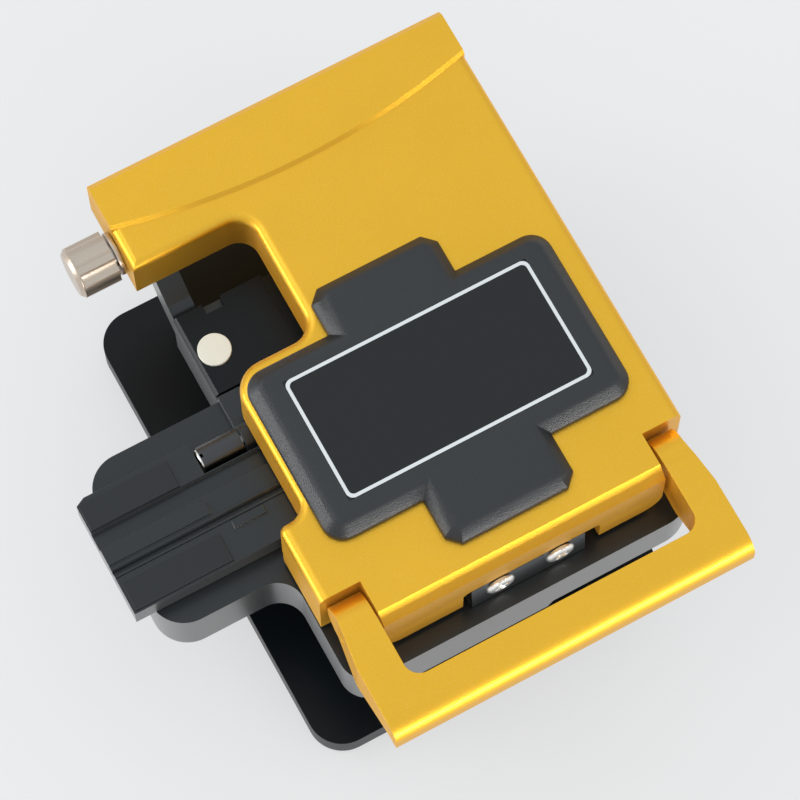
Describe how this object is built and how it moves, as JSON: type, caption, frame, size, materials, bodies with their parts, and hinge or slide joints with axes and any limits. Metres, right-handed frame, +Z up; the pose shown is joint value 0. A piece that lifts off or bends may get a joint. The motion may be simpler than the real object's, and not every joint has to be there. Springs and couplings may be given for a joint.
{
  "type": "optical fibre cleaver",
  "caption": "Desktop optical fibre cleaver: hinged lid with fold-up bail handle, sliding fibre guide on a side tongue, clamps, sprung anvil and a round blade on a carriage.",
  "frame": {"origin": "on the table, under the middle of the whole cleaver", "axes": "+X to the right along the fibre, away from the tongue; +Y to the rear, where the lid is hinged; +Z up"},
  "size_m": [0.0864, 0.1002, 0.054],
  "materials": {
    "gold_anodised": "satin anodised",
    "black_anodised": "satin anodised",
    "black_plastic": "satin",
    "gloss_black": "gloss",
    "silver": "satin",
    "steel": "ground",
    "nickel": "polished nickel plating",
    "carbide": "ground edge",
    "dark_steel": "ground",
    "rubber": "matt",
    "pad_grey": "matt",
    "ivory": "matt"
  },
  "bodies": {
    "base": {"base_plate": "black_anodised", "rubber_feet": "rubber", "housing": "black_anodised", "base_screws": "steel", "bed_plate": "black_anodised", "keeper_plate": "dark_steel", "rear_block": "black_anodised", "access_plug": "ivory", "hinge_shaft": "steel", "knob_washer": "nickel", "lock_bearing": "black_anodised", "lock_pin": "steel", "lower_clamps": "steel", "lower_pads": "pad_grey", "rail": "steel"},
    "lid": {"lid": "gold_anodised", "upper_clamps": "steel", "upper_pads": "pad_grey", "anvil_guide": "black_anodised", "anvil_spring": "steel", "latch_block": "dark_steel", "latch_screws": "steel", "bail_pins": "steel", "lid_cover": "black_plastic", "label_border": "silver", "label_plate": "gloss_black"},
    "knob": {"hinge_knob": "nickel"},
    "bail": {"bail_handle": "gold_anodised"},
    "guide": {"fibre_slide": "black_anodised", "groove_plate": "black_anodised", "slide_pads": "pad_grey"},
    "lock": {"lock_barrel": "black_anodised"},
    "carriage": {"carriage": "black_anodised", "blade_screw": "steel"},
    "blade": {"blade": "carbide"},
    "anvil": {"anvil": "ivory"}
  },
  "joints": [
    {"name": "lid_hinge", "type": "hinge", "parent": "base", "child": "lid", "pos_m": [0.012, 0.0403, 0.045], "axis": [-1, 0, 0], "range_deg": [0, 60]},
    {"name": "bail_pivot", "type": "hinge", "parent": "lid", "child": "bail", "pos_m": [0.012, -0.0313, 0.0458], "axis": [-1, 0, 0], "range_deg": [0, 80]},
    {"name": "knob_turn", "type": "hinge", "parent": "base", "child": "knob", "pos_m": [-0.024, 0.0403, 0.045], "axis": [-1, 0, 0], "continuous": true},
    {"name": "guide_slide", "type": "slide", "parent": "base", "child": "guide", "axis": [-1, 0, 0], "range_m": [0, 0.008]},
    {"name": "lock_turn", "type": "hinge", "parent": "base", "child": "lock", "pos_m": [-0.019, 0.0058, 0.0387], "axis": [1, 0, 0], "range_deg": [0, 90]},
    {"name": "carriage_slide", "type": "slide", "parent": "base", "child": "carriage", "axis": [0, -1, 0], "range_m": [0, 0.022]},
    {"name": "blade_turn", "type": "hinge", "parent": "carriage", "child": "blade", "pos_m": [0.004, 0.0073, 0.0324], "axis": [1, 0, 0], "continuous": true},
    {"name": "anvil_slide", "type": "slide", "parent": "lid", "child": "anvil", "axis": [0, 0, 1], "range_m": [0, 0.0015], "stiffness_N_per_m": 300, "springref_m": -0.001, "deforming": ["anvil_spring"]}
  ]
}
